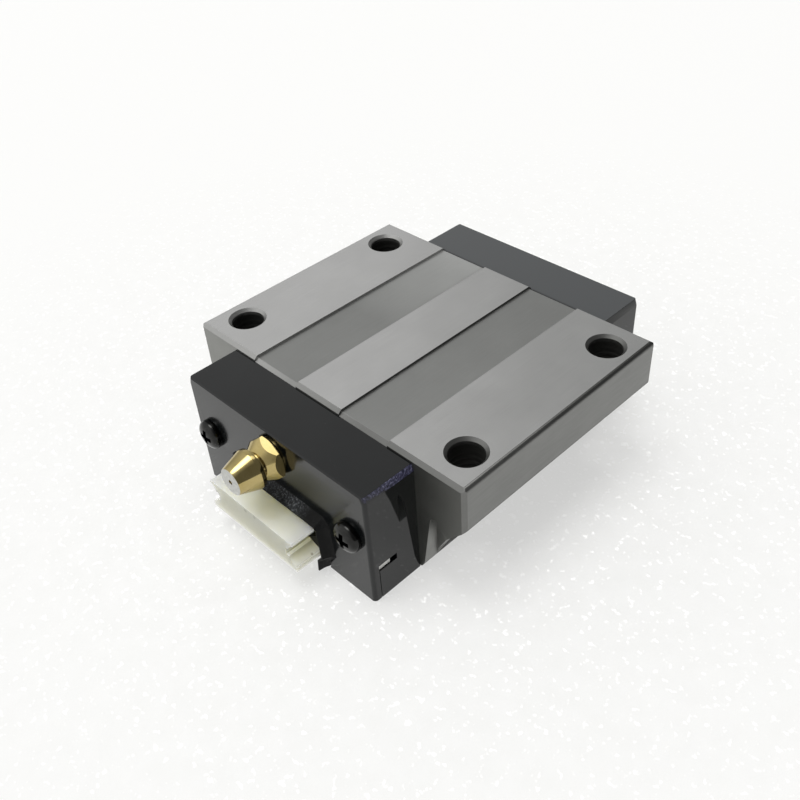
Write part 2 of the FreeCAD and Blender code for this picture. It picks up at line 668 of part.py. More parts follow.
# --------------------------------------------------------- retainers, bottom seals
for name, side in (("left_ball_retainer", -1), ("right_ball_retainer", 1)):
    strip = doc.addObject("Part::Box", name)
    strip.Label = name
    bind(strip, "Length", d.strip_thick)
    bind(strip, "Width", d.strip_half_length * 2)
    bind(strip, "Height", d.strip_half_height * 2)
    place(strip, d.strip_inner * side, -d.strip_half_length * side,
          -(d.race_down + d.strip_half_height), TURN if side < 0 else None)
    kept.append(strip)

for name, side in (("left_bottom_seal", -1), ("right_bottom_seal", 1)):
    lower = make_body(name)
    pad(lower, name + "_strip", sketch(lower, name + "_section", "XZ_Plane", [[
        (d.bottom_seal_outer, -d.bottom_seal_top), (d.bottom_seal_outer, -d.bottom_seal_low),
        (d.bottom_seal_tip + 0.9, -d.bottom_seal_low), (d.bottom_seal_tip, -(d.bottom_seal_low - 0.2)),
        (d.bottom_seal_tip, -(d.bottom_seal_low - 0.4)),
        (d.bottom_seal_tip + 0.9, -d.bottom_seal_top)]]),
        d.bottom_seal_half_length * 2, middle=True)
    if side < 0:
        lower.Placement = Placement(Vector(0, 0, 0), TURN)
    kept.append(lower)


# ---------------------------------------------------------------- cap screws
def make_screw(name, side, rear):
    """Cross-recessed pan head screw; the thread is left at its core size."""
    screw = make_body(name)
    end = d.cap_length + d.core_length
    revolve(screw, name + "_turned", sketch(screw, name + "_turned_section", "XZ_Plane", [[
        (0, -end), (d.core_radius - 0.3, -end), (d.core_radius, -(end - 0.3)),
        (d.core_radius, -d.cap_length), (d.shank_radius, -d.cap_length), (d.shank_radius, 0),
        (d.head_radius, 0), (d.head_radius, d.head_height * 0.45),
        (d.head_radius * 0.99, d.head_height * 0.57), (d.head_radius * 0.935, d.head_height * 0.7),
        (d.head_radius * 0.84, d.head_height * 0.82), (d.head_radius * 0.71, d.head_height * 0.91),
        (d.head_radius * 0.5, d.head_height * 0.975), (0, d.head_height)]]))
    a, b = d.recess_long, d.recess_wide
    cross = [(b, a), (-b, a), (-b, b), (-a, b), (-a, -b), (-b, -b), (-b, -a), (b, -a),
             (b, -b), (a, -b), (a, b), (b, b)]
    recess = pocket(screw, name + "_recess", sketch(
        screw, name + "_recess_section", "XY_Plane", [cross], offset=d.head_height), d.recess_depth)
    recess.TaperAngle = -6.0
    place(screw, d.screw_across * side, (d.block_half_length + d.cap_length) * (1 if rear else -1),
          -d.screw_down, BACKWARD if rear else FORWARD)
    kept.append(screw)


make_screw("front_left_cap_screw", -1, False)
make_screw("front_right_cap_screw", 1, False)
make_screw("rear_left_cap_screw", -1, True)
make_screw("rear_right_cap_screw", 1, True)


# -------------------------------------------------------------- grease nipple
front_face = d.block_half_length + d.cap_length
nipple = make_body("grease_nipple_body")
hexed = d.nipple_washer + d.nipple_hex_length
revolve(nipple, "nipple_turned", sketch(nipple, "nipple_turned_section", "XZ_Plane", [[
    (0, -d.nipple_stub_length), (d.nipple_stub_radius - 0.25, -d.nipple_stub_length),
    (d.nipple_stub_radius, -(d.nipple_stub_length - 0.25)), (d.nipple_stub_radius, 0),
    (d.nipple_washer_radius, 0), (d.nipple_washer_radius, d.nipple_washer + 0.1),
    (d.nipple_neck_radius, d.nipple_washer + 0.1), (d.nipple_neck_radius, d.nipple_rim_low - 0.12),
    (d.nipple_rim_radius - 0.2, d.nipple_rim_low), (d.nipple_rim_radius - 0.05, d.nipple_rim_low + 0.12),
    (d.nipple_rim_radius, d.nipple_rim_z - 0.1), (d.nipple_rim_radius - 0.03, d.nipple_rim_z),
    (d.nipple_tip_radius + 0.06, d.nipple_tip_z - 0.15), (d.nipple_tip_radius - 0.08, d.nipple_tip_z),
    (0, d.nipple_tip_z)]]))
hexagon = []
for number in range(6):
    angle = math.radians(sheet.nipple_hex_turn + 60 * number)
    hexagon.append((d.nipple_hex_radius * math.cos(angle), d.nipple_hex_radius * math.sin(angle)))
hex_pad = pad(nipple, "nipple_hexagon", sketch(nipple, "nipple_hexagon_section", "XY_Plane",
                                               [hexagon], offset=d.nipple_washer),
              d.nipple_hex_length)
slack = (hexed - d.nipple_cone_z) / (d.nipple_hex_radius - d.nipple_neck_radius) * 0.2
revolve(nipple, "nipple_hex_corners", sketch(nipple, "nipple_hex_corner_section", "XZ_Plane", [
    [(d.nipple_neck_radius, hexed), (d.nipple_hex_radius + 0.2, d.nipple_cone_z - slack),
     (d.nipple_hex_radius + 0.2, hexed)],
    [(d.nipple_hex_radius - 0.42, d.nipple_washer), (d.nipple_hex_radius + 0.2, d.nipple_washer),
     (d.nipple_hex_radius + 0.2, d.nipple_washer + 0.36)]]), cut=True)
revolve(nipple, "nipple_bore", sketch(nipple, "nipple_bore_section", "XZ_Plane", [[
    (0, -(d.nipple_stub_length + 0.5)), (0.5, -(d.nipple_stub_length + 0.5)),
    (0.5, d.nipple_bore_low), (d.nipple_bore_radius, d.nipple_bore_low),
    (d.nipple_bore_radius, d.nipple_bore_high), (d.nipple_mouth_radius, d.nipple_bore_high + 0.3),
    (d.nipple_mouth_radius, d.nipple_tip_z + 0.5), (0, d.nipple_tip_z + 0.5)]]), cut=True)
place(nipple, 0, -front_face, -d.port_down, FORWARD)
kept.append(nipple)

check_ball = doc.addObject("Part::Sphere", "nipple_check_ball")
check_ball.Label = "nipple_check_ball"
bind(check_ball, "Radius", d.check_ball_radius)
place(check_ball, 0, -(front_face + d.check_ball_z), -d.port_down, FORWARD)
kept.append(check_ball)

coil = doc.addObject("Part::Helix", "nipple_spring_line")
bind(coil, "Pitch", d.spring_pitch)
bind(coil, "Height", d.spring_high - d.spring_low)
bind(coil, "Radius", d.spring_radius)
wire_round = doc.addObject("Part::Circle", "nipple_spring_wire")
bind(wire_round, "Radius", d.spring_wire)
wire_round.Placement = Placement(Vector(sheet.spring_radius, 0, 0), Rotation(Vector(1, 0, 0), 90))
wire_round.setExpression("Placement.Base.x", d.spring_radius.text)
doc.recompute()
spring = doc.addObject("Part::Sweep", "nipple_spring")
spring.Label = "nipple_spring"
spring.Sections = [wire_round]
spring.Spine = (coil, [])
spring.Solid = True
spring.Frenet = True
place(spring, 0, -(front_face + d.spring_low), -d.port_down, FORWARD)
kept.append(spring)


# ------------------------------------------------------------ rear port plug
plug = make_body("rear_port_plug")
plug_bar = pad(plug, "plug_bar", sketch(plug, "plug_section", "XY_Plane",
                                        circles=[(0, 0, d.plug_radius)]), d.plug_length, back=True)
doc.recompute()
hexagon = []
for number in range(6):
    angle = math.radians(60 * number)
    hexagon.append((d.plug_hex_radius * math.cos(angle), d.plug_hex_radius * math.sin(angle)))
socket = pocket(plug, "plug_socket", sketch(plug, "plug_socket_section", "XY_Plane", [hexagon]),
                d.plug_hex_depth)
chamfer(plug, "plug_ends", socket,
        lambda e, m: hasattr(e.Curve, "Radius") and near(e.Curve.Radius, sheet.plug_radius), 0.2)
place(plug, 0, front_face - d.plug_sunk, -d.port_down, BACKWARD)
kept.append(plug)


# -------------------------------------------------------------- shipping rail
rail = make_body("dummy_rail")
pad(rail, "rail_bar", sketch(rail, "rail_section", "XZ_Plane", [whole([
    (0, -d.rail_top), (d.rail_half - d.rail_edge, -d.rail_top),
    (d.rail_half, -(d.rail_top + d.rail_edge)), (d.rail_half, -(d.rail_foot_down - 0.15)),
    (d.rail_foot_half, -d.rail_foot_down), (d.rail_foot_half, -d.rail_bottom),
    (0, -d.rail_bottom)])]), d.rail_half_length * 2, middle=True)
pocket(rail, "rail_grooves", sketch(rail, "rail_groove_section", "XZ_Plane", circles=[
    (d.race_across, -d.race_down, d.rail_groove_radius),
    (-d.race_across, -d.race_down, d.rail_groove_radius)]), d.rail_half_length * 2 + 2, middle=True)
pocket(rail, "rail_slots", sketch(rail, "rail_slot_section", "XZ_Plane", pair(rectangle(
    d.rail_slot_inner, -(d.race_down + d.rail_slot_half), d.rail_half + 0.5,
    -(d.race_down - d.rail_slot_half)))), d.rail_half_length * 2 + 2, middle=True)
kept.append(rail)


# ---------------------------------------------------------- check, then write
doc.recompute()
for item in doc.Objects:
    if "Invalid" in item.State or "Error" in item.State:
        raise RuntimeError("%s: %s" % (item.Name, item.State))
for item in doc.Objects:
    if item.TypeId in ("PartDesign::Pocket", "PartDesign::Groove", "PartDesign::Chamfer"):
        gone = item.BaseFeature.Shape.Volume - item.Shape.Volume
        if gone < 1e-4:
            raise RuntimeError("%s cuts nothing (%.5f)" % (item.Name, gone))
os.makedirs("parts", exist_ok=True)
for item in kept:
    shape = item.Shape
    if shape.isNull() or not shape.isValid() or not shape.Solids:
        raise RuntimeError("%s has no valid shape" % item.Label)
for item in kept:
    item.Shape.exportStep("parts/%s.step" % item.Label)
    box = item.Shape.BoundBox
    print("%-26s solids %2d volume %10.3f  x %7.2f %7.2f  y %7.2f %7.2f  z %7.2f %7.2f" % (
        item.Label, len(item.Shape.Solids), item.Shape.Volume, box.XMin, box.XMax, box.YMin,
        box.YMax, box.ZMin, box.ZMax))
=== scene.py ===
import math

import bmesh
import bpy
import numpy as np
from mathutils import Matrix, Vector
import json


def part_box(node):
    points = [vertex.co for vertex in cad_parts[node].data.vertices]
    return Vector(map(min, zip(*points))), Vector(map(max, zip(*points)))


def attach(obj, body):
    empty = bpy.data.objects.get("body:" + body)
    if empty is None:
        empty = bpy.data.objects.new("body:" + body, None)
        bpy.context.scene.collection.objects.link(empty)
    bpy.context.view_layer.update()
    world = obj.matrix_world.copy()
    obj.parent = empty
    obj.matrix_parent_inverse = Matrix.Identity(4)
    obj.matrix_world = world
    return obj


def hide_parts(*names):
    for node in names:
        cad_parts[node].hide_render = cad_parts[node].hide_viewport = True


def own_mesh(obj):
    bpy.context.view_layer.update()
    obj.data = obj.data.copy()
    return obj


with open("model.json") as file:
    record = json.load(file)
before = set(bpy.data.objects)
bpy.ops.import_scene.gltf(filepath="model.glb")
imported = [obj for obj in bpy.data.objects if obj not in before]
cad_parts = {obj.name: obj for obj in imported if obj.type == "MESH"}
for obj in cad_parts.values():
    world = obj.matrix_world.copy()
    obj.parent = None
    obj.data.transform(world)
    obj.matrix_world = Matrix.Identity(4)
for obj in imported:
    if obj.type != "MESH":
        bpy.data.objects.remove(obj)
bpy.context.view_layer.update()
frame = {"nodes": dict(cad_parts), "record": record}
NODES = frame["nodes"]
MM = 0.001
FLOOR_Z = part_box("front_end_cap")[0].z          # the caps' bottoms carry the part

scene = bpy.context.scene


# ------------------------------------------------------------------ node tools
class Mat(object):
    """A short way to write a node material."""

    def __init__(self, name):
        self.mat = bpy.data.materials.new(name)
        self.mat.use_nodes = True
        self.tree = self.mat.node_tree
        self.tree.nodes.clear()
        self.out = self.tree.nodes.new("ShaderNodeOutputMaterial")
        self.bsdf = self.tree.nodes.new("ShaderNodeBsdfPrincipled")
        self.link(self.bsdf.outputs[0], self.out.inputs["Surface"])
        self._object = None

    def link(self, a, b):
        self.tree.links.new(a, b)

    def node(self, kind, **settings):
        n = self.tree.nodes.new(kind)
        for key, value in settings.items():
            if key in n.inputs.keys() if hasattr(n.inputs, "keys") else False:
                n.inputs[key].default_value = value
            else:
                setattr(n, key, value)
        return n

    def set(self, **settings):
        for key, value in settings.items():
            self.bsdf.inputs[key.replace("_", " ")].default_value = value

    def coords(self, scale=(1, 1, 1), turn=(0, 0, 0)):
        if self._object is None:
            self._object = self.node("ShaderNodeTexCoord").outputs["Object"]
        m = self.node("ShaderNodeMapping")
        m.inputs["Scale"].default_value = scale
        m.inputs["Rotation"].default_value = turn
        self.link(self._object, m.inputs["Vector"])
        return m.outputs[0]

    def noise(self, scale, detail=4.0, rough=0.55, stretch=(1, 1, 1), distortion=0.0):
        n = self.node("ShaderNodeTexNoise")
        n.inputs["Scale"].default_value = scale
        n.inputs["Detail"].default_value = detail
        n.inputs["Roughness"].default_value = rough
        n.inputs["Distortion"].default_value = distortion
        self.link(self.coords(stretch), n.inputs["Vector"])
        return n.outputs["Fac"]

    def ramp(self, value, stops):
        n = self.node("ShaderNodeValToRGB")
        ramp = n.color_ramp
        while len(ramp.elements) < len(stops):
            ramp.elements.new(0.5)
        for element, (where, colour) in zip(ramp.elements, stops):
            element.position = where
            element.color = (colour, colour, colour, 1) if isinstance(colour, (int, float)) else (*colour, 1)
        self.link(value, n.inputs["Fac"])
        return n.outputs["Color"]

    def span(self, value, a, b, c, e, smooth=False):
        """value from [a, b] to [c, e]"""
        n = self.node("ShaderNodeMapRange")
        n.interpolation_type = "SMOOTHSTEP" if smooth else "LINEAR"
        n.inputs["From Min"].default_value = a
        n.inputs["From Max"].default_value = b
        n.inputs["To Min"].default_value = c
        n.inputs["To Max"].default_value = e
        self.link(value, n.inputs["Value"])
        return n.outputs["Result"]

    def math(self, op, a, b=0.0, c=0.0):
        n = self.node("ShaderNodeMath", operation=op)
        for index, item in enumerate((a, b, c)):
            if isinstance(item, (int, float)):
                n.inputs[index].default_value = item
            else:
                self.link(item, n.inputs[index])
        return n.outputs[0]

    def mix(self, fac, a, b, blend="MIX"):
        n = self.node("ShaderNodeMix", data_type="RGBA", blend_type=blend)
        for socket, item in ((n.inputs[0], fac), (n.inputs[6], a), (n.inputs[7], b)):
            if isinstance(item, (int, float)):
                socket.default_value = item
            elif isinstance(item, tuple):
                socket.default_value = (*item, 1)
            else:
                self.link(item, socket)
        return n.outputs[2]

    def xyz(self):
        n = self.node("ShaderNodeSeparateXYZ")
        if self._object is None:
            self._object = self.node("ShaderNodeTexCoord").outputs["Object"]
        self.link(self._object, n.inputs[0])
        return n.outputs

    def normal_xyz(self):
        g = self.node("ShaderNodeNewGeometry")
        n = self.node("ShaderNodeSeparateXYZ")
        self.link(g.outputs["Normal"], n.inputs[0])
        return n.outputs

    def bump(self, height, strength=0.2, distance=0.0001, normal=None):
        n = self.node("ShaderNodeBump")
        n.inputs["Strength"].default_value = strength
        n.inputs["Distance"].default_value = distance
        self.link(height, n.inputs["Height"])
        if normal is not None:
            self.link(normal, n.inputs["Normal"])
        return n.outputs["Normal"]

    def to(self, socket, value):
        self.link(value, self.bsdf.inputs[socket])


def assign(obj, mat):
    obj.data.materials.clear()
    obj.data.materials.append(mat)


def smooth(obj, angle=35):
    for p in obj.data.polygons:
        p.use_smooth = True
    obj.data.set_sharp_from_angle(angle=math.radians(angle))


# ------------------------------------------------------------------ mesh tools
def new_object(name, verts, faces):
    mesh = bpy.data.meshes.new(name)
    mesh.from_pydata([tuple(float(c) for c in v) for v in verts], [], faces)
    mesh.validate()
    obj = bpy.data.objects.new(name, mesh)
    scene.collection.objects.link(obj)
    return obj


def crease(obj, angle=32):
    """Smooth shading with sharp edges over the angle, normals outwards."""
    bm = bmesh.new()
    bm.from_mesh(obj.data)
    bmesh.ops.recalc_face_normals(bm, faces=bm.faces)
    limit = math.radians(angle)
    for face in bm.faces:
        face.smooth = True
    for edge in bm.edges:
        edge.smooth = len(edge.link_faces) == 2 and edge.calc_face_angle(0.0) < limit
    bm.to_mesh(obj.data)
    bm.free()


def turned(rows, segments, centre, outward, round_ends=True):
    """Surface of revolution from rows of (height, radius), or of functions of the angle that give them, closed in a
    ring.
    """
    verts, faces = [], []
    for row in rows:
        for k in range(segments):
            angle = 2 * math.pi * k / segments
            height, radius = row(angle) if callable(row) else row
            verts.append((centre[0] + radius * math.cos(angle) * MM,
                          centre[1] + outward * height * MM,
                          centre[2] + radius * math.sin(angle) * MM))
    count = len(rows)
    for i in range(count if round_ends else count - 1):
        a, b = i * segments, ((i + 1) % count) * segments
        for k in range(segments):
            n = (k + 1) % segments
            faces.append((a + k, a + n, b + n, b + k))
    return verts, faces


def softened(node, width, angle=32, keep=None, segments=3):
    """A copy of a frame node with its outer edges broken by a small round."""
    bm = bmesh.new()
    bm.from_mesh(NODES[node].data)
    bmesh.ops.remove_doubles(bm, verts=bm.verts, dist=2e-6)
    bmesh.ops.dissolve_limit(bm, angle_limit=math.radians(0.6), use_dissolve_boundaries=False,
                             verts=bm.verts, edges=bm.edges)
    limit = math.radians(angle)
    edges = []
    for edge in bm.edges:
        if len(edge.link_faces) != 2 or edge.calc_face_angle(0.0) < limit:
            continue
        middle = (edge.verts[0].co + edge.verts[1].co) / 2 / MM
        if keep is None or keep(edge, middle):
            edges.append(edge)
    bmesh.ops.bevel(bm, geom=edges, offset=width * MM, offset_type="OFFSET", segments=segments,
                    profile=0.5, affect="EDGES", clamp_overlap=True, loop_slide=True,
                    harden_normals=False)
    bmesh.ops.triangulate(bm, faces=[f for f in bm.faces if len(f.verts) > 4])
    mesh = bpy.data.meshes.new(node + "_finish")
    bm.to_mesh(mesh)
    bm.free()
    obj = bpy.data.objects.new(node + "_finish", mesh)
    scene.collection.objects.link(obj)
    crease(obj, 33)
    weight = obj.modifiers.new("flat faces stay flat", "WEIGHTED_NORMAL")
    weight.mode = "FACE_AREA"
    weight.weight = 90
    weight.keep_sharp = True
    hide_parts(node)
    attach(obj, BODY_OF[node])
    return obj


BODY_OF = {name: "carriage" for name in NODES}
BODY_OF["dummy_rail"] = "shipping_rail"
BODY_OF["nipple_check_ball"] = "check_ball"
SLOT_OF = {part["node"]: part["material_slot"] for part in frame["record"]["subparts"]
           if "material_slot" in part}


# ------------------------------------------------------------------- materials
def between(m, value, low, high, soft):
    """1 where low < value < high, with soft borders."""
    a = m.span(value, low - soft, low + soft, 0, 1)
    b = m.span(value, high - soft, high + soft, 1, 0)
    return m.math("MULTIPLY", a, b)


PAD, GROOVE, SIDE = (0.52, 0.52, 0.515), (0.255, 0.258, 0.251), (0.205, 0.207, 0.200)
PAD_RIGHT_REAR, GROOVE_LIT = (0.45, 0.452, 0.446), (0.43, 0.434, 0.426)
END_LEFT, END_RIGHT_SHADE, REST, UNDERSIDE_SHADE = (0.25, 0.252, 0.24), (0.135, 0.137, 0.128), (0.17, 0.171, 0.165), (0.05, 0.05, 0.047)
REST_LEFT = (0.36, 0.36, 0.352)


def steel_block():
    m = Mat("ground_steel")
    x, y, z = m.xyz()
    nx, ny, nz = m.normal_xyz()
    up = m.span(nz, 0.90, 0.985, 0, 1)
    across = m.span(m.math("ABSOLUTE", nx), 0.90, 0.985, 0, 1)
    along = m.span(m.math("ABSOLUTE", ny), 0.90, 0.985, 0, 1)
    high = m.span(z, -0.00028, -0.00012, 0, 1)
    pad = m.math("MULTIPLY", up, high)
    groove = m.math("MULTIPLY", up, m.math("SUBTRACT", 1.0, high))
    lines = m.noise(5200, 2, 0.6, (1, 0.02, 1))           # grinding lines run along the rail
    drawn = m.noise(2600, 3, 0.6, (1, 0.10, 1))
    cloud = m.noise(95, 4, 0.55)
    smear = m.noise(210, 3, 0.5, (1, 0.45, 1), 0.2)
    pits = m.noise(3600, 3, 0.7)
    # the remaining faces are lighter towards the left
    colour = m.mix(m.span(x, -0.016, 0.010, 0, 1), REST_LEFT, REST)
    wall = m.math("MULTIPLY", m.span(m.math("ABSOLUTE", y), 0.0190, 0.0193, 0, 1), m.span(m.math("ABSOLUTE", x), 0.0240, 0.0243, 1, 0))
    wall = m.math("MULTIPLY", wall, m.math("MULTIPLY", m.span(z, -0.0092, -0.0088, 1, 0),
                                           m.span(m.math("ABSOLUTE", nx), 0.85, 0.92, 0, 1)))
    # painted shade: faces turned downwards, under the flange, are painted nearly black
    below = m.math("MULTIPLY", m.span(nz, -0.25, -0.08, 1, 0), m.math("SUBTRACT", 1.0, wall))
    outer = m.math("MULTIPLY", m.span(m.math("ABSOLUTE", y), 0.0190, 0.0193, 0, 1),
                   between(m, m.math("ABSOLUTE", x), 0.0238, 0.0260, 0.0002))
    outer = m.math("MULTIPLY", outer, m.math("MULTIPLY", m.span(z, -0.0092, -0.0088, 1, 0), m.span(m.math("ABSOLUTE", nx), 0.85, 0.92, 0, 1)))
    colour = m.mix(below, colour, UNDERSIDE_SHADE)
    # painted light: the grooves at the left rear are painted lighter
    light = m.math("MULTIPLY", m.span(y, -0.002, 0.022, 0, 1), m.span(x, -0.006, -0.004, 1, 0))
    colour = m.mix(groove, colour, m.mix(light, GROOVE, GROOVE_LIT))
    # the pads are darker towards the right rear
    colour = m.mix(pad, colour, m.mix(m.span(m.math("ADD", x, m.math("MULTIPLY", y, 0.8)), -0.014, 0.024, 0, 1), PAD, PAD_RIGHT_REAR))
    # painted light: the pad walls at the left are painted light to take out their shade line
    colour = m.mix(across, colour, m.mix(m.math("MULTIPLY", m.span(x, -0.012, -0.010, 1, 0), m.span(z, -0.0008, -0.0006, 0, 1)), SIDE, (0.70, 0.70, 0.69)))
    # painted shade: the end faces are painted darker towards the right side
    colour = m.mix(along, colour, m.mix(m.span(x, -0.012, 0.016, 0, 1), END_LEFT, END_RIGHT_SHADE))
    # painted shade: the round of the right long edge is painted dark, darker towards the rear
    edge = m.math("MULTIPLY", between(m, nx, 0.045, 0.80, 0.02), m.span(nz, 0.45, 0.55, 0, 1))
    colour = m.mix(m.math("MULTIPLY", edge, m.span(x, 0.0285, 0.0286, 0, 1)), colour,
                   m.mix(m.span(y, -0.021, 0.006, 0, 1), (0.175, 0.176, 0.17), (0.105, 0.106, 0.101)))
    colour = m.mix(wall, colour, (0.25, 0.252, 0.24))
    colour = m.mix(outer, colour, (0.85, 0.85, 0.84))
    notch = m.math("MULTIPLY", m.span(m.math("ABSOLUTE", y), 0.0215, 0.0218, 1, 0), m.span(z, -0.0092, -0.0088, 1, 0))
    relief_face = m.math("MULTIPLY", along, notch)          # the reliefs are left as drawn, with a dull skin
    colour = m.mix(relief_face, colour, (0.26, 0.26, 0.25))
    # inside the bolt holes and under the flange the steel is painted dark as painted shade; in the holes it is
    # darkest near the top
    deep = m.span(z, -0.0012, -0.0005, 1, 0)
    reach = m.math("SUBTRACT", m.math("ABSOLUTE", x), 0.0245)
    step = m.math("SUBTRACT", m.math("ABSOLUTE", y), 0.016)
    radius = m.math("SQRT", m.math("ADD", m.math("MULTIPLY", reach, reach), m.math("MULTIPLY", step, step)))
    bore = m.math("MULTIPLY", m.span(radius, 0.00272, 0.0028, 1, 0), deep)
    colour = m.mix(bore, colour, m.mix(m.span(z, -0.0075, -0.0015, 1, 0), (0.05, 0.05, 0.047), (0.13, 0.13, 0.122)))
    tone = m.math("MULTIPLY", m.span(cloud, 0.3, 0.7, 0.955, 1.04), m.span(lines, 0.25, 0.75, 0.975, 1.025))
    tone = m.math("MULTIPLY", tone, m.span(pits, 0.20, 0.30, 0.97, 1.0))
    colour = m.mix(1.0, colour, m.ramp(m.span(tone, 0.0, 1.1, 0, 1), [(0.0, 0.0), (1.0, 1.1)]), "MULTIPLY")
    m.to("Metallic", m.math("SUBTRACT", 1.0, m.math("MULTIPLY", relief_face, 0.9)))
    m.to("Base Color", colour)
    rough = m.mix(pad, m.ramp(m.span(drawn, 0.3, 0.7, 0, 1), [(0, 0.34), (1, 0.44)]),
                  m.ramp(m.span(smear, 0.3, 0.7, 0, 1), [(0, 0.19), (1, 0.26)]))
    ends = m.math("MULTIPLY", along, m.math("SUBTRACT", 1.0, notch))
    rough = m.mix(ends, rough, m.ramp(m.span(smear, 0.3, 0.7, 0, 1), [(0, 0.42), (1, 0.50)]))
    rough = m.mix(m.math("MAXIMUM", below, bore), rough, (0.8, 0.8, 0.8))
    rough = m.mix(outer, rough, (0.55, 0.55, 0.55))
    m.to("Roughness", rough)
    relief = m.math("ADD", m.math("MULTIPLY", lines, 0.7), m.math("MULTIPLY", pits, 0.12))
    m.to("Normal", m.bump(relief, 0.06, 0.00001))
    return m.mat


def cap_plastic():
    m = Mat("cap_plastic")
    x, y, z = m.xyz()
    nx, ny, nz = m.normal_xyz()
    grain = m.noise(5200, 3, 0.6)
    flow = m.noise(160, 4, 0.5, (1, 1, 0.6), 0.4)
    dust = m.noise(2400, 2, 0.5)
    # the sloping top edges of the front cap were left rough; their glints are painted highlights in the colour, fewer
    # towards the front
    slope = m.math("MULTIPLY", between(m, m.math("ABSOLUTE", nx), 0.5, 0.985, 0.01), m.span(nz, 0.1, 0.2, 0, 1))
    slope = m.math("MULTIPLY", slope, m.span(y, -0.001, 0.001, 1, 0))
    glint = m.noise(3000, 2, 0.75)
    colour = m.mix(m.span(flow, 0.3, 0.7, 0, 1), (0.0026, 0.0033, 0.0036), (0.0044, 0.0053, 0.0056))
    # painted sheen: the top of the rear cap is painted lighter
    rear = m.math("MULTIPLY", m.span(y, 0.0215, 0.0225, 0, 1), m.span(nz, 0.8, 0.97, 0, 1))
    colour = m.mix(rear, colour, (0.066, 0.070, 0.073))
    colour = m.mix(m.span(dust, 0.70, 0.78, 0, 0.5), colour, (0.05, 0.05, 0.05))
    painted_glints = m.ramp(glint, [(0.0, (0.006, 0.006, 0.014)), (0.44, (0.018, 0.018, 0.042)), (0.58, (0.09, 0.09, 0.17)),
                             (0.70, (0.26, 0.26, 0.36))])
    painted_glints = m.mix(m.span(y, -0.0312, -0.0275, 0.65, 0), painted_glints, (0.008, 0.008, 0.016))
    colour = m.mix(slope, colour, painted_glints)
    m.set(IOR=1.42)
    m.to("Base Color", colour)
    wave = m.math("ADD", m.math("MULTIPLY", grain, 0.5), m.math("MULTIPLY", flow, 0.5))
    ends = m.span(m.math("ABSOLUTE", ny), 0.6, 0.95, 0, 1)
    rough = m.mix(ends, m.ramp(m.span(wave, 0.3, 0.7, 0, 1), [(0, 0.045), (1, 0.08)]),
                  m.ramp(m.span(wave, 0.3, 0.7, 0, 1), [(0, 0.13), (1, 0.18)]))
    m.to("Roughness", m.mix(slope, rough, m.ramp(glint, [(0.3, 0.25), (0.7, 0.5)])))
    m.to("Normal", m.bump(m.math("ADD", grain, m.math("MULTIPLY", m.math("MULTIPLY", slope, glint), 6.0)),
                          0.025, 0.00001))
    return m.mat


def rubber():
    m = Mat("seal_rubber")
    x, y, z = m.xyz()
    nx, ny, nz = m.normal_xyz()
    n = m.noise(2600, 4, 0.65)
    big = m.noise(260, 3, 0.5)
    glint = m.noise(3300, 2, 0.7)
    # painted highlights: glints are painted on the upward faces of the seal, mostly about its middle
    middle = m.span(m.math("ABSOLUTE", m.math("SUBTRACT", x, 0.0015)), 0.0035, 0.0065, 1, 0.05)
    top = m.math("MULTIPLY", m.math("MULTIPLY", m.span(nz, 0.3, 0.6, 0, 1), m.span(big, 0.42, 0.58, 0.35, 1)), middle)
    base = m.mix(big, (0.0035, 0.0035, 0.0035), (0.0065, 0.0065, 0.0065))
    painted_glints = m.ramp(glint, [(0.0, (0.012, 0.012, 0.013)), (0.5, (0.03, 0.033, 0.036)), (0.66, (0.17, 0.18, 0.19))])
    m.set(IOR=1.28)
    m.bsdf.inputs["Specular IOR Level"].default_value = 0.35
    m.to("Base Color", m.mix(top, base, painted_glints))
    m.to("Roughness", m.span(n, 0.3, 0.7, 0.50, 0.66))
    m.to("Normal", m.bump(m.math("ADD", n, m.math("MULTIPLY", glint, 1.5)), 0.12, 0.00002))
    return m.mat


def brass():
    m = Mat("nipple_brass")
    rings = m.noise(5200, 2, 0.5, (0.02, 1, 0.02))        # turning lines around the axis
    cloud = m.noise(420, 4, 0.6)
    spots = m.noise(1500, 3, 0.6)
    colour = m.mix(m.span(cloud, 0.3, 0.7, 0, 1), (0.40, 0.315, 0.125), (0.475, 0.385, 0.175))
    colour = m.mix(m.span(spots, 0.62, 0.72, 0, 0.35), colour, (0.36, 0.27, 0.13))
    x, y, z = m.xyz()
    tip = m.span(y, -0.03886, -0.03880, 1, 0)              # the face around the mouth, painted a mottled grey as a painted reflection of the bright surroundings
    tip_mottle = m.noise(1900, 3, 0.6)
    colour = m.mix(tip, colour, m.ramp(m.span(tip_mottle, 0.35, 0.75, 0, 1), [(0, (0.58, 0.58, 0.555)), (1, (0.40, 0.40, 0.38))]))
    m.set(Metallic=1.0)
    m.to("Base Color", colour)
    wave = m.span(m.math("ADD", m.math("MULTIPLY", rings, 0.5), m.math("MULTIPLY", cloud, 0.5)), 0.3, 0.7, 0, 1)
    m.to("Roughness", m.mix(tip, m.ramp(wave, [(0, 0.08), (1, 0.15)]), (0.38, 0.38, 0.38)))
    m.to("Normal", m.bump(rings, 0.10, 0.00001))
    return m.mat


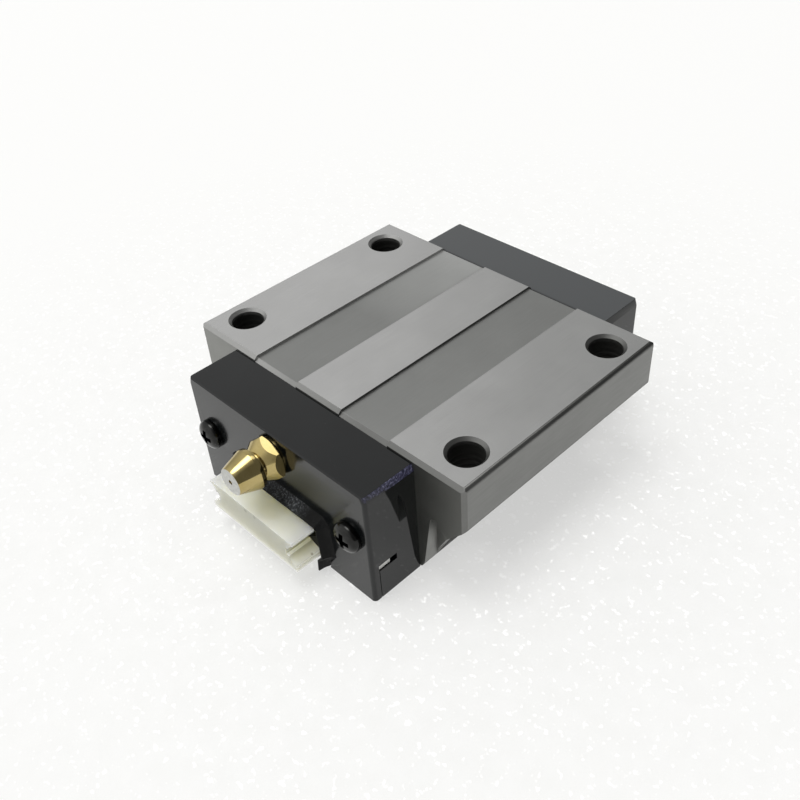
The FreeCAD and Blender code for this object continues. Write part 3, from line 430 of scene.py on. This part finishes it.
def black_screw():
    m = Mat("black_screw")
    n = m.noise(2400, 4, 0.6)
    cloud = m.noise(500, 3, 0.5)
    wear = m.noise(1300, 4, 0.6)
    colour = m.mix(m.span(cloud, 0.3, 0.7, 0, 1), (0.022, 0.022, 0.0215), (0.042, 0.042, 0.041))
    colour = m.mix(m.span(wear, 0.62, 0.74, 0, 0.4), colour, (0.16, 0.157, 0.152))
    x, y, z = m.xyz()
    reach = m.math("SUBTRACT", m.math("ABSOLUTE", x), 0.0162)
    climb = m.math("ADD", z, 0.0104)
    radius = m.math("SQRT", m.math("ADD", m.math("MULTIPLY", reach, reach), m.math("MULTIPLY", climb, climb)))
    nx, ny, nz = m.normal_xyz()
    # painted shade: the walls of the cross recess are painted nearly black
    recess_shade = m.math("MULTIPLY", m.math("MULTIPLY", m.span(radius, 0.0016, 0.0017, 1, 0), m.span(m.math("ABSOLUTE", ny), 0.55, 0.75, 1, 0)),
                   m.span(m.math("ABSOLUTE", y), 0.0310, 0.0312, 0, 1))
    colour = m.mix(recess_shade, colour, (0.008, 0.008, 0.008))
    m.set(Metallic=1.0)
    m.to("Base Color", colour)
    m.to("Roughness", m.span(n, 0.3, 0.7, 0.14, 0.24))
    m.to("Normal", m.bump(n, 0.06, 0.00001))
    return m.mat


def white_plastic():
    m = Mat("white_plastic")
    n = m.noise(2600, 3, 0.6)
    big = m.noise(300, 3, 0.5)
    m.set(IOR=1.5)
    m.to("Base Color", m.mix(big, (0.78, 0.78, 0.75), (0.86, 0.86, 0.83)))
    m.to("Roughness", m.span(n, 0.3, 0.7, 0.32, 0.45))
    m.to("Normal", m.bump(n, 0.08, 0.00001))
    return m.mat


def bright_steel(name, low, high, rough, along=False):
    m = Mat(name)
    n = m.noise(3000, 3, 0.6, (1, 0.05, 1) if along else (1, 1, 1))
    big = m.noise(420, 3, 0.5)
    m.set(Metallic=1.0)
    m.to("Base Color", m.mix(big, low, high))
    m.to("Roughness", m.span(n, 0.3, 0.7, rough - 0.03, rough + 0.04))
    m.to("Normal", m.bump(n, 0.05, 0.00001))
    return m.mat


def rail_plastic():
    m = Mat("rail_plastic")
    x, y, z = m.xyz()
    flow = m.noise(120, 4, 0.5, (1, 0.35, 1), 0.5)
    n = m.noise(2200, 3, 0.6)
    lines = m.noise(1500, 2, 0.5, (1, 0.03, 1))
    scuff = m.noise(600, 4, 0.6, (1, 0.4, 1), 0.8)
    colour = m.mix(m.span(flow, 0.3, 0.7, 0, 1), IVORY_LOW, IVORY_HIGH)
    colour = m.mix(m.span(scuff, 0.63, 0.75, 0, 0.25), colour, (0.52, 0.50, 0.42))
    # a small gate mark on each side and two scuffs on the sawn ends
    for (px, py, pz), size, dark in GATE_MARKS:
        parts = []
        for axis, place in ((x, px), (y, py), (z, pz)):
            d = m.math("SUBTRACT", axis, place * MM)
            parts.append(m.math("MULTIPLY", d, d))
        r = m.math("SQRT", m.math("ADD", m.math("ADD", parts[0], parts[1]), parts[2]))
        colour = m.mix(m.span(r, size * 0.6 * MM, size * 1.2 * MM, dark, 0), colour, (0.10, 0.09, 0.07))
    nx, ny, nz = m.normal_xyz()
    flank_shade = m.span(nz, 0.4, 0.9, 1, 0)                      # painted shade: the ends and flanks are painted darker than the top
    colour = m.mix(flank_shade, colour, m.mix(1.0, colour, (0.58, 0.58, 0.575), "MULTIPLY"))
    m.set(IOR=1.46)
    m.bsdf.inputs["Subsurface Weight"].default_value = 1.0
    m.bsdf.inputs["Subsurface Radius"].default_value = (1.0, 0.95, 0.75)
    m.bsdf.inputs["Subsurface Scale"].default_value = 0.012
    m.to("Base Color", colour)
    m.to("Roughness", m.span(n, 0.3, 0.7, 0.30, 0.42))
    m.to("Normal", m.bump(m.math("ADD", n, m.math("MULTIPLY", lines, 1.2)), 0.10, 0.00002))
    return m.mat


IVORY_LOW, IVORY_HIGH = (0.71, 0.715, 0.60), (0.77, 0.775, 0.67)
GATE_MARKS = [((9.98, -33.9, -16.9), 0.28, 0.95), ((-9.98, 33.9, -16.9), 0.28, 0.95),
              ((-1.0, -37.1, -13.1), 0.35, 0.35), ((1.2, -37.1, -13.0), 0.3, 0.3),
              ((2.6, 37.1, -14.2), 0.35, 0.3)]
STEEL = steel_block()
CAP = cap_plastic()
RUBBER = rubber()
WHITE = white_plastic()
BALL = bright_steel("ball_steel", (0.70, 0.70, 0.71), (0.76, 0.76, 0.77), 0.07)
STRIP = bright_steel("strip_steel", (0.52, 0.52, 0.52), (0.60, 0.60, 0.60), 0.22, True)
BLACK = black_screw()
BRASS = brass()
IVORY = rail_plastic()
BY_SLOT = {"ground_steel": STEEL, "cap_plastic": CAP, "seal_rubber": RUBBER, "white_plastic": WHITE,
           "ball_steel": BALL, "strip_steel": STRIP, "black_screw": BLACK, "nipple_brass": BRASS,
           "rail_plastic": IVORY}
for name, obj in NODES.items():
    assign(obj, BY_SLOT[SLOT_OF[name]])


# ------------------------------------------------------- block, caps and rail
def finish(obj, slot):
    assign(obj, BY_SLOT[slot])
    return obj


def outer_block(edge, middle):
    ax, ay = abs(middle.x), abs(middle.y)
    if math.hypot(ax - 24.5, ay - 16.0) < 3.6:
        return False
    if middle.z > -1.3:
        return True
    if ax > 28.0:
        return True
    return ay > 21.0 and ax > 20.6 and middle.z < -1.3


finish(softened("carriage_block", 0.12, 30, outer_block), "ground_steel")


def outer_cap(edge, middle):
    if middle.z > -2.3:
        return True
    if abs(middle.x) > 19.5 and (abs(middle.y) > 30.6 or middle.z < -21.5):
        return True
    return abs(middle.y) > 31.2 or middle.z < -21.9


for end in ("front_end_cap", "rear_end_cap"):
    finish(softened(end, 0.10, 30, outer_cap), "cap_plastic")

finish(softened("dummy_rail", 0.16, 30, None), "rail_plastic")
for end in ("front_end_seal", "rear_end_seal"):
    finish(softened(end, 0.05, 30, lambda e, c: abs(c.y) > 31.2), "seal_rubber")


# ---------------------------------------------------------------- cap screws
def cross_cutter(centre, outward):
    """The driver's cross: four wings about a square middle, all narrowing towards the bottom."""
    long, wide, deep, lift = 1.62, 0.48, 1.15, 0.4
    top, low = 1.7 + lift, 1.7 - deep
    verts, faces = [], []
    ring = [(wide, long), (-wide, long), (-wide, wide), (-long, wide), (-long, -wide), (-wide, -wide),
            (-wide, -long), (wide, -long), (wide, -wide), (long, -wide), (long, wide), (wide, wide)]
    for height, share in ((low, 0.42), (top, 1.08)):
        for a, b in ring:
            verts.append((centre[0] + a * share * MM, centre[1] + outward * height * MM,
                          centre[2] + b * share * MM))
    n = len(ring)
    for k in range(n):
        j = (k + 1) % n
        faces.append((k, j, n + j, n + k))
    faces.append(tuple(range(n)))
    faces.append(tuple(reversed(range(n, 2 * n))))
    cutter = new_object("cutter", verts, faces)
    bm = bmesh.new()
    bm.from_mesh(cutter.data)
    bmesh.ops.recalc_face_normals(bm, faces=bm.faces)
    bm.to_mesh(cutter.data)
    bm.free()
    return cutter


def make_cap_screw(node, side, rear):
    outward = 1 if rear else -1
    centre = (16.2 * side * MM, 31.3 * outward * MM, -10.4 * MM)
    rows = [(-16.3, 0.02), (-16.3, 0.95), (-16.0, 1.24), (-9.3, 1.24), (-9.3, 1.35), (-0.02, 1.35),
            (0.0, 1.37), (0.0, 2.38), (0.03, 2.44), (0.1, 2.485), (0.2, 2.5), (0.62, 2.5)]
    for k in range(1, 17):                                 # the dome of the pan head
        t = k / 16
        angle = t * math.pi / 2
        rows.append((0.62 + 1.07 * math.sin(angle), 2.5 * max(math.cos(angle) ** 0.82, 0.008)))
    verts, faces = turned(rows, 96, centre, outward, round_ends=False)
    faces.append(tuple(reversed(range(96))))
    last = (len(rows) - 1) * 96
    faces.append(tuple(range(last, last + 96)))
    screw = new_object(node + "_head", verts, faces)
    bm = bmesh.new()
    bm.from_mesh(screw.data)
    bmesh.ops.recalc_face_normals(bm, faces=bm.faces)
    bm.to_mesh(screw.data)
    bm.free()
    cutter = cross_cutter(centre, outward)
    cut = screw.modifiers.new("cross", "BOOLEAN")
    cut.operation = "DIFFERENCE"
    cut.solver = "EXACT"
    cut.object = cutter
    done = bpy.data.meshes.new_from_object(screw.evaluated_get(bpy.context.evaluated_depsgraph_get()))
    screw.modifiers.clear()
    screw.data = done
    bpy.data.objects.remove(cutter)
    crease(screw, 28)
    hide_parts(node)
    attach(screw, "carriage")
    finish(screw, "black_screw")


for node, side, rear in (("front_left_cap_screw", -1, False), ("front_right_cap_screw", 1, False),
                         ("rear_left_cap_screw", -1, True), ("rear_right_cap_screw", 1, True)):
    make_cap_screw(node, side, rear)


# -------------------------------------------------------------- grease nipple
HEX, TURN, NECK, CONE_LOW, HEXED = 3.85, math.radians(100.0), 2.4, 1.05, 3.0
RISE = (HEXED - CONE_LOW) / (HEX - NECK)


def hex_radius(angle):
    a = (angle - TURN - math.pi / 6) % (math.pi / 3)
    a = min(a, math.pi / 3 - a)
    return HEX * math.cos(math.pi / 6) / math.cos(a)


def hex_low(angle):
    return 0.4, min(hex_radius(angle), HEX - 0.42)


def hex_rear(angle):
    r = hex_radius(angle)
    return 0.4 + max(0.0, r - (HEX - 0.42)) * 0.58, r


def hex_front(angle):
    r = hex_radius(angle) - 0.004
    return HEXED - (r - NECK) * RISE, r


def hex_crest(angle):
    r = hex_radius(angle) - 0.07
    return HEXED - (r - NECK) * RISE, r


rows = [(-4.0, 0.5), (-4.0, 1.45), (-3.75, 1.7), (-0.02, 1.7), (0.0, 1.75), (0.0, 2.82), (0.06, 2.88),
        (0.36, 2.9), (0.4, 2.92), hex_low, hex_rear, hex_front, hex_crest, (HEXED - 0.12, NECK + 0.09),
        (HEXED - 0.03, NECK + 0.015), (HEXED + 0.06, NECK), (3.2, NECK), (3.26, NECK + 0.03),
        (3.3, NECK + 0.12), (3.40, 3.02), (3.44, 3.14), (3.52, 3.23), (3.62, 3.265), (4.12, 3.295), (4.22, 3.29),
        (4.3, 3.265), (4.42, 3.22), (5.5, 2.865), (6.6, 2.505), (7.42, 2.235), (7.52, 2.19), (7.58, 2.12),
        (7.6, 2.04), (7.6, 1.2), (7.6, 0.48), (7.59, 0.42), (7.55, 0.4), (7.2, 0.4), (6.9, 0.95), (2.3, 0.95),
        (2.3, 0.5)]
verts, faces = turned(rows, 288, (0, -31.3 * MM, -5.2 * MM), -1)
nipple = new_object("nipple_turned", verts, faces)
crease(nipple, 20)
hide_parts("grease_nipple_body")
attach(nipple, "carriage")
finish(nipple, "nipple_brass")


# ------------------------------------------------- spring behind the nipple's ball
def coil():
    """A wound wire with its two end turns closed, along the nipple's axis."""
    low, high, mean, wire, around, per_turn = 2.45, 5.9, 0.6, 0.105, 10, 28
    path, height, angle = [], low, 0.0
    while height < high - 1e-6:
        edge = min(height - low, high - height)
        path.append((height, angle))
        height += (0.22 if edge < 0.2 else 0.5) / per_turn
        angle += 2 * math.pi / per_turn
    path.append((high, angle))
    verts, faces = [], []
    for height, angle in path:
        for k in range(around):
            a = 2 * math.pi * k / around
            r = mean + wire * math.cos(a)
            verts.append((r * math.cos(angle) * MM, (-31.3 - height - wire * math.sin(a)) * MM,
                          (-5.2 + r * math.sin(angle)) * MM))
    for i in range(len(path) - 1):
        for k in range(around):
            n = (k + 1) % around
            faces.append((i * around + k, i * around + n, (i + 1) * around + n, (i + 1) * around + k))
    last = (len(path) - 1) * around
    faces.append(tuple(range(around)))
    faces.append(tuple(range(last, last + around)))
    return verts, faces


verts, faces = coil()
spring = new_object("nipple_spring_coil", verts, faces)
crease(spring, 50)
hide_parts("nipple_spring")
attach(spring, "carriage")
finish(spring, "strip_steel")
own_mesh(spring)


# ----------------------------------------------------- threads in the flange
def thread(name, cx, cy):
    """The cut M6 thread as a thin sleeve in the flange hole."""
    around, per_turn, top, low, pitch = 64, 10, -1.3, -9.4, 1.0
    count = int(round((top - low) / pitch * per_turn))
    verts, faces = [], []
    for i in range(count + 1):
        z = top + (low - top) * i / count
        fade = min(1.0, i / (per_turn * 2.5), (count - i) / (per_turn * 0.7))
        for k in range(around):
            phase = (z / pitch + k / around) % 1.0
            wave = abs(phase - 0.5) * 2
            wave = min(max((wave - 0.12) / 0.72, 0.0), 1.0)
            r = 2.68 - 0.16 * wave * fade
            a = 2 * math.pi * k / around
            verts.append((cx + r * math.cos(a), cy + r * math.sin(a), z))
    base = len(verts)
    for z in (low, top):
        for k in range(around):
            a = 2 * math.pi * k / around
            verts.append((cx + 2.692 * math.cos(a), cy + 2.692 * math.sin(a), z))
    rings = [i * around for i in range(count + 1)] + [base, base + around]
    for i, a in enumerate(rings):
        b = rings[(i + 1) % len(rings)]
        for k in range(around):
            n = (k + 1) % around
            faces.append((a + k, a + n, b + n, b + k))
    obj = new_object(name, np.array(verts) * MM, faces)
    crease(obj, 40)
    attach(obj, "carriage")
    finish(obj, "ground_steel")


for name, sx, sy in (("bolt_thread_front_right", 1, -1), ("bolt_thread_front_left", -1, -1),
                     ("bolt_thread_rear_right", 1, 1), ("bolt_thread_rear_left", -1, 1)):
    thread(name, 24.5 * sx, 16.0 * sy)

# ------------------------------------------------------------- floor and light
floor = bpy.data.objects.new("floor", bpy.data.meshes.new("floor"))
bm = bmesh.new()
bmesh.ops.create_grid(bm, x_segments=1, y_segments=1, size=3.0)
bm.to_mesh(floor.data)
bm.free()
floor.location = (0, 0, FLOOR_Z - 0.00002)
scene.collection.objects.link(floor)
fm = Mat("floor_foam")
cells = fm.noise(900, 3, 0.65)
blot = fm.noise(260, 3, 0.6)
floor_glints = fm.noise(900, 2, 0.6)
fm.set(Roughness=0.85)
fx, fy, fz = fm.xyz()
away = fm.math("SQRT", fm.math("ADD", fm.math("MULTIPLY", fx, fx), fm.math("MULTIPLY", fy, fy)))
near = fm.span(away, 0.03, 0.13, 1, 0)
white = fm.mix(fm.math("MULTIPLY", fm.span(blot, 0.35, 0.65, 1, 0), near), (0.40, 0.40, 0.396), (0.37, 0.37, 0.362))
# painted highlights: glints are painted on the floor near the part
white = fm.mix(fm.math("MULTIPLY", fm.span(floor_glints, 0.62, 0.68, 0, 1.0), near), white, (0.78, 0.78, 0.77))
fm.to("Base Color", white)
fm.bsdf.inputs["Emission Strength"].default_value = 0.56    # the foam lets light through
fm.bsdf.inputs["Emission Color"].default_value = (1.0, 1.0, 0.99, 1)
fm.to("Normal", fm.bump(cells, 0.25, 0.0001))
assign(floor, fm.mat)

world = bpy.data.worlds.new("studio")
scene.world = world
world.use_nodes = True
wt = world.node_tree
wt.nodes.clear()
wo = wt.nodes.new("ShaderNodeOutputWorld")
wb = wt.nodes.new("ShaderNodeBackground")
wt.links.new(wb.outputs[0], wo.inputs[0])
wc = wt.nodes.new("ShaderNodeTexCoord")


def wmath(op, a, b=0.0, c=0.0):
    n = wt.nodes.new("ShaderNodeMath")
    n.operation = op
    for index, item in enumerate((a, b, c)):
        if isinstance(item, (int, float)):
            n.inputs[index].default_value = item
        else:
            wt.links.new(item, n.inputs[index])
    return n.outputs[0]


def lobe(direction, inner, outer):
    """1 within inner degrees of the direction, 0 beyond outer degrees."""
    d = Vector(direction).normalized()
    n = wt.nodes.new("ShaderNodeVectorMath")
    n.operation = "DOT_PRODUCT"
    wt.links.new(wc.outputs["Generated"], n.inputs[0])
    n.inputs[1].default_value = tuple(d)
    r = wt.nodes.new("ShaderNodeMapRange")
    r.interpolation_type = "SMOOTHSTEP"
    r.inputs["From Min"].default_value = math.cos(math.radians(outer))
    r.inputs["From Max"].default_value = math.cos(math.radians(inner))
    wt.links.new(n.outputs["Value"], r.inputs["Value"])
    return r.outputs["Result"]


SKY = 0.55
LOBES = [((-0.16, -0.08, 0.98), 6, 21, 5.4),           # long softbox overhead, running back
         ((-0.12, 0.24, 0.96), 6, 18, 1.2),
         ((-0.04, 0.516, 0.857), 5, 14, 1.5),
         ((-0.66, 0.50, 0.56), 10, 36, 0.22),
         ((-0.57, -0.64, 0.52), 10, 50, 0.25),
         ((0.64, 0.52, 0.57), 15, 60, -0.38),          # dark side of the room, right and behind
         ((0.97, -0.08, 0.24), 18, 52, -0.50),
         ((0.60, -0.50, 0.62), 12, 42, -0.34),
         ((-0.10, 0.88, 0.46), 8, 44, -0.22),
         ((-0.25, -0.90, 0.35), 20, 75, 0.30)]         # open side of the room, in front
total = wmath("ADD", 0.0, SKY)
for direction, inner, outer, gain in LOBES:
    total = wmath("MULTIPLY_ADD", lobe(direction, inner, outer), gain, total)
total = wmath("MAXIMUM", total, 0.18)
tint = wt.nodes.new("ShaderNodeCombineColor")
for index, factor in enumerate((1.0, 1.0, 0.992)):
    wt.links.new(wmath("MULTIPLY", total, factor), tint.inputs[index])
wt.links.new(tint.outputs[0], wb.inputs["Color"])
wb.inputs["Strength"].default_value = 1.0

# ---------------------------------------------------------------------- camera
cam_data = bpy.data.cameras.new("camera")
cam = bpy.data.objects.new("camera", cam_data)
scene.collection.objects.link(cam)
cam_data.sensor_width = 36.0
cam_data.lens = 36.0 * 921.684 / 800.0
cam_data.clip_start = 0.005
cam_data.clip_end = 20.0
right = Vector((0.702788, 0.709059, -0.057661))
down = Vector((0.421353, -0.480189, -0.769338))
forward = Vector((-0.573194, 0.516385, -0.636235))
rotation = Matrix((right, -down, -forward)).transposed()
cam.matrix_world = Matrix.Translation(Vector((0.087018, -0.083768, 0.085683))) @ rotation.to_4x4()
scene.camera = cam

scene.view_settings.view_transform = "Standard"
scene.view_settings.look = "None"
